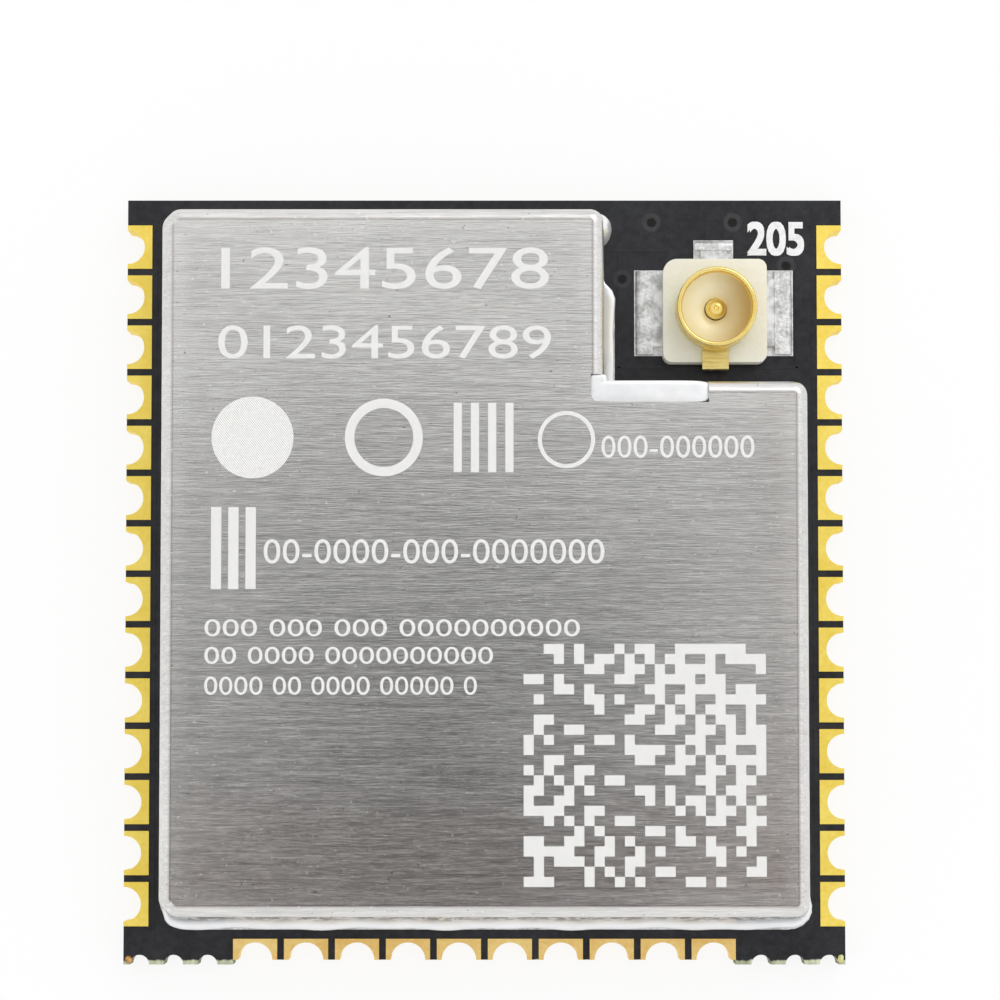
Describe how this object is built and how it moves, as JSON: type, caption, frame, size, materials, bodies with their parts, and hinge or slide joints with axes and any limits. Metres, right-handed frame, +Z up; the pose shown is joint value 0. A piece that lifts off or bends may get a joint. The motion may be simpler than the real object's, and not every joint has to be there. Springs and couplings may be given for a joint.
{
  "type": "castellated wireless module",
  "caption": "Surface-mount wireless module: board with plated half-hole edge pads, L-shaped screening can and a coaxial aerial receptacle.",
  "frame": {"origin": "middle of the board, on the plane of its underside solder lands", "axes": "+Z up out of the lid of the screening can; +Y along the longer side, towards the end that carries the aerial receptacle; +X towards the receptacle's corner"},
  "size_m": [0.018, 0.0192, 0.0032],
  "materials": {
    "laminate": "black solder mask, semi-gloss, over glass-fibre laminate",
    "gold_plating": "gold-plated copper, satin",
    "tinned_copper": "tinned land, satin",
    "can_sheet": "brushed nickel-silver sheet",
    "solder": "reflowed solder, soft bright",
    "housing_plastic": "cream moulded liquid-crystal polymer",
    "contact_gold": "gold-plated phosphor bronze",
    "chip_moulding": "black moulding compound, matt",
    "lead_tin": "tin-plated lead frame, satin",
    "crystal_ceramic": "fired alumina, brown",
    "crystal_metal": "plated lid, satin",
    "capacitor_ceramic": "fired ceramic, tan",
    "resistor_ceramic": "white alumina",
    "resistor_glaze": "black glazed resistive film",
    "inductor_ceramic": "pale blue-grey ceramic",
    "end_tin": "tin-plated terminations"
  },
  "bodies": {
    "root": {"circuit_board": "laminate", "left_pads": "gold_plating", "right_pads": "gold_plating", "bottom_pads": "gold_plating", "ground_pad": "gold_plating", "shield_land": "tinned_copper", "component_lands": "gold_plating", "connector_lands": "tinned_copper", "shield_can": "can_sheet", "shield_solder": "solder", "connector_housing": "housing_plastic", "connector_shell": "contact_gold", "connector_pin": "contact_gold", "connector_solder": "solder", "main_chip_body": "chip_moulding", "main_chip_terminals": "lead_tin", "flash_body": "chip_moulding", "flash_leads": "lead_tin", "crystal_base": "crystal_ceramic", "crystal_lid": "crystal_metal", "crystal_pads": "gold_plating", "capacitor_bodies": "capacitor_ceramic", "capacitor_ends": "end_tin", "resistor_bodies": "resistor_ceramic", "resistor_films": "resistor_glaze", "resistor_ends": "end_tin", "inductor_bodies": "inductor_ceramic", "inductor_ends": "end_tin"}
  },
  "joints": []
}
